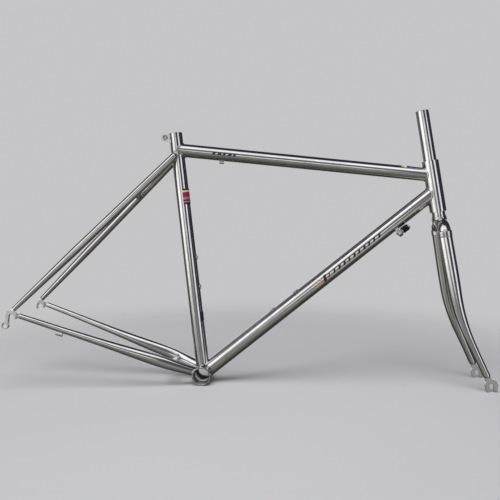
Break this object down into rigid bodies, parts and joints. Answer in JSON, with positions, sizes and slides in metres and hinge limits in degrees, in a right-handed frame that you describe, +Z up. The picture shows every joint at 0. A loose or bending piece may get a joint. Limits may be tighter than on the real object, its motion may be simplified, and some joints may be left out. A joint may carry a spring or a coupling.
{
  "type": "bicycle frame",
  "caption": "Road bicycle frame and fork in slim polished steel tube, with dropouts, brake bridge, cable stops and barrel adjusters",
  "frame": {"origin": "centre of the bottom bracket shell, with both axle centres at one height", "axes": "+X forward, +Y to the rider's left along the bottom bracket axis, +Z up"},
  "size_m": [1.0388, 0.147, 0.6506],
  "materials": {
    "polished_tube": "mirror-polished stainless steel tube",
    "brushed_parts": "satin machined steel",
    "fasteners": "turned steel",
    "dark_adjuster": "dark anodised, knurled",
    "cream_mark": "thin printed film",
    "dark_mark": "thin printed film"
  },
  "bodies": {
    "frame": {"bottom_bracket_shell": "brushed_parts", "seat_tube": "polished_tube", "top_tube": "polished_tube", "down_tube": "polished_tube", "head_tube": "polished_tube", "left_chainstay": "polished_tube", "right_chainstay": "polished_tube", "left_seatstay": "polished_tube", "right_seatstay": "polished_tube", "chainstay_bridge": "polished_tube", "brake_bridge": "polished_tube", "brake_bridge_sleeve": "brushed_parts", "left_dropout": "brushed_parts", "right_dropout": "brushed_parts", "seat_clamp_ears": "brushed_parts", "seat_clamp_bolt": "fasteners", "seat_clamp_nut": "fasteners", "seat_tube_bosses": "brushed_parts", "down_tube_bosses": "brushed_parts", "down_tube_cable_stop": "brushed_parts", "chainstay_cable_stop": "brushed_parts", "top_tube_cable_stop": "brushed_parts"},
    "fork": {"steerer_tube": "polished_tube", "fork_crown": "brushed_parts", "left_fork_blade": "polished_tube", "right_fork_blade": "polished_tube", "left_fork_dropout": "brushed_parts", "right_fork_dropout": "brushed_parts"},
    "right_adjuster_slide": {"right_adjuster_ring": "fasteners"},
    "right_adjuster": {"right_adjuster_barrel": "dark_adjuster"},
    "left_adjuster_slide": {"left_adjuster_ring": "fasteners"},
    "left_adjuster": {"left_adjuster_barrel": "dark_adjuster"}
  },
  "joints": [
    {"name": "steering", "type": "hinge", "parent": "frame", "child": "fork", "pos_m": [0.4496, 0, 0.41988], "axis": [-0.309, 0, 0.9511], "continuous": true},
    {"name": "right_adjuster_travel", "type": "slide", "parent": "frame", "child": "right_adjuster_slide", "axis": [0.6845, 0, 0.729], "range_m": [0, 0.0034]},
    {"name": "right_adjuster_turn", "type": "hinge", "parent": "right_adjuster_slide", "child": "right_adjuster", "pos_m": [0.37238, -0.0076, 0.35961], "axis": [0.6845, 0, 0.729], "range_deg": [0, 1440]},
    {"name": "left_adjuster_travel", "type": "slide", "parent": "frame", "child": "left_adjuster_slide", "axis": [0.6845, 0, 0.729], "range_m": [0, 0.0034]},
    {"name": "left_adjuster_turn", "type": "hinge", "parent": "left_adjuster_slide", "child": "left_adjuster", "pos_m": [0.37238, 0.0076, 0.35961], "axis": [0.6845, 0, 0.729], "range_deg": [0, 1440]}
  ],
  "couplings": [
    {"joint": "right_adjuster_travel", "follows": "right_adjuster_turn", "m_per_rad": 0.00012732},
    {"joint": "left_adjuster_travel", "follows": "left_adjuster_turn", "m_per_rad": 0.00012732}
  ]
}
